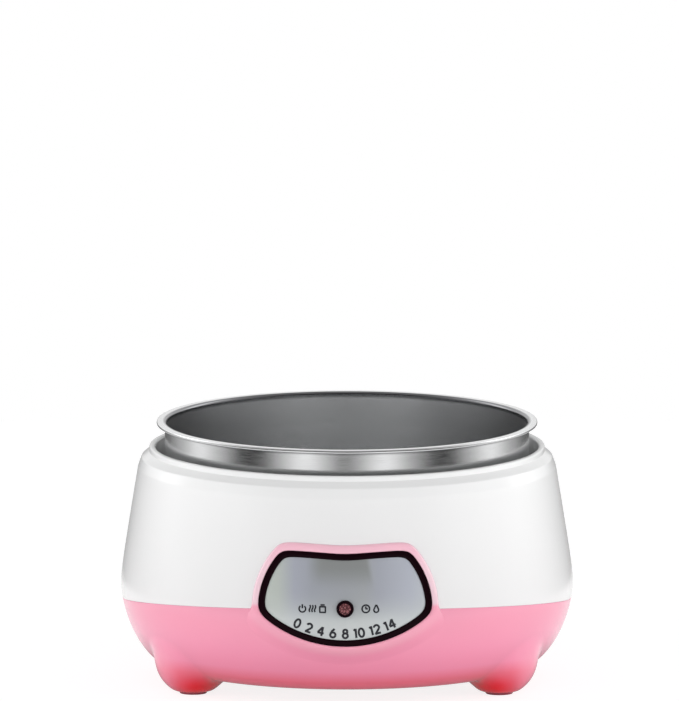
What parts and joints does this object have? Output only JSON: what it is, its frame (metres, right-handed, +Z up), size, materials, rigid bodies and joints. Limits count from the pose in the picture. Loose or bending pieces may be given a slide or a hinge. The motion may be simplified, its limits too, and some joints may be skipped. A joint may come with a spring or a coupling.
{
  "type": "electric yogurt maker",
  "caption": "Electric yogurt maker with a round two-part body on ball feet, a front panel with a lamp, a rear mains inlet and a lift-out steel liner.",
  "frame": {"origin": "on the table, under the middle of the round body", "axes": "+Z up, -Y towards the front panel, +Y towards the mains inlet, +X to the right seen from the front"},
  "size_m": [0.165, 0.1673, 0.0956],
  "materials": {
    "white_plastic": "glossy white moulding",
    "pink_plastic": "glossy pink moulding",
    "black_plastic": "glossy black moulding",
    "silver_face": "satin silver face",
    "red_lens": "clear red-brown lens, unlit",
    "bulb_glass": "clear glass",
    "nylon": "natural nylon",
    "resistor_body": "lacquered",
    "lead_insulation": "wire insulation",
    "stainless_steel": "fine satin stainless steel",
    "well_plastic": "heat-resistant moulding",
    "plate_aluminium": "plain sheet",
    "heater_aluminium": "extruded",
    "plated_steel": "zinc plated",
    "brass": "plain",
    "fuse_metal": "plain",
    "sleeve_fibre": "woven glass sleeve",
    "inlet_plastic": "fine grain",
    "pin_metal": "nickel plated",
    "live_insulation": "brown wire insulation",
    "neutral_insulation": "blue wire insulation",
    "heater_insulation": "white heat-resistant insulation",
    "pad_rubber": "matt"
  },
  "bodies": {
    "cooker": {"upper_shell": "white_plastic", "base_shell": "pink_plastic", "panel_frame": "black_plastic", "panel_face": "silver_face", "lamp_bezel": "black_plastic", "lamp_lens": "red_lens", "lamp_bulb": "bulb_glass", "lamp_retainer": "nylon", "lamp_resistor": "resistor_body", "lamp_leads": "lead_insulation", "well": "well_plastic", "warm_plate": "plate_aluminium", "heater_block": "heater_aluminium", "heater_clamp": "plated_steel", "clamp_nuts": "brass", "plate_screws": "plated_steel", "thermal_fuse": "fuse_metal", "fuse_sleeve": "sleeve_fibre", "fuse_clip": "plated_steel", "inlet_body": "inlet_plastic", "inlet_pins": "pin_metal", "terminal_sleeves": "nylon", "live_wire": "live_insulation", "neutral_wire": "neutral_insulation", "heater_leads": "heater_insulation", "splice_caps": "nylon", "well_screws": "plated_steel", "base_screws": "plated_steel", "foot_pads": "pad_rubber"},
    "liner": {"liner": "stainless_steel"}
  },
  "joints": [
    {"name": "liner_lift", "type": "slide", "parent": "cooker", "child": "liner", "axis": [0, 0, 1], "range_m": [0, 0.09]}
  ]
}
